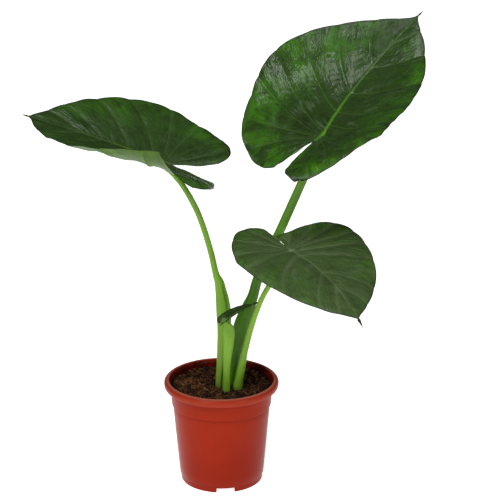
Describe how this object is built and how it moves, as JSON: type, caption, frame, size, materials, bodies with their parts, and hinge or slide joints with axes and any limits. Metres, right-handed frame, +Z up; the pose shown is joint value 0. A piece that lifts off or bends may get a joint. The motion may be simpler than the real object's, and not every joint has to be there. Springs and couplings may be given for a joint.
{
  "type": "potted alocasia plant",
  "caption": "Young alocasia with heart-shaped leaves on upright fleshy stalks, growing in soil in a round terracotta-coloured plastic nursery pot.",
  "frame": {"origin": "centre of the pot's base, on the surface that the pot stands on", "axes": "+Z up the pot's axis, -Y the front, towards which the lower right leaf points, +X to the right, towards which the upper right leaf leans"},
  "size_m": [0.5827, 0.3876, 0.674],
  "materials": {
    "pot_plastic": "satin",
    "soil": "matte",
    "leaf_blade": "satin",
    "leaf_stalk": "satin"
  },
  "bodies": {
    "root": {"pot": "pot_plastic", "soil": "soil", "left_leaf_blade": "leaf_blade", "upper_right_leaf_blade": "leaf_blade", "lower_right_leaf_blade": "leaf_blade", "small_leaf_blade": "leaf_blade", "left_leaf_stalk": "leaf_stalk", "upper_right_leaf_stalk": "leaf_stalk", "lower_right_leaf_stalk": "leaf_stalk", "small_leaf_stalk": "leaf_stalk"}
  },
  "joints": []
}
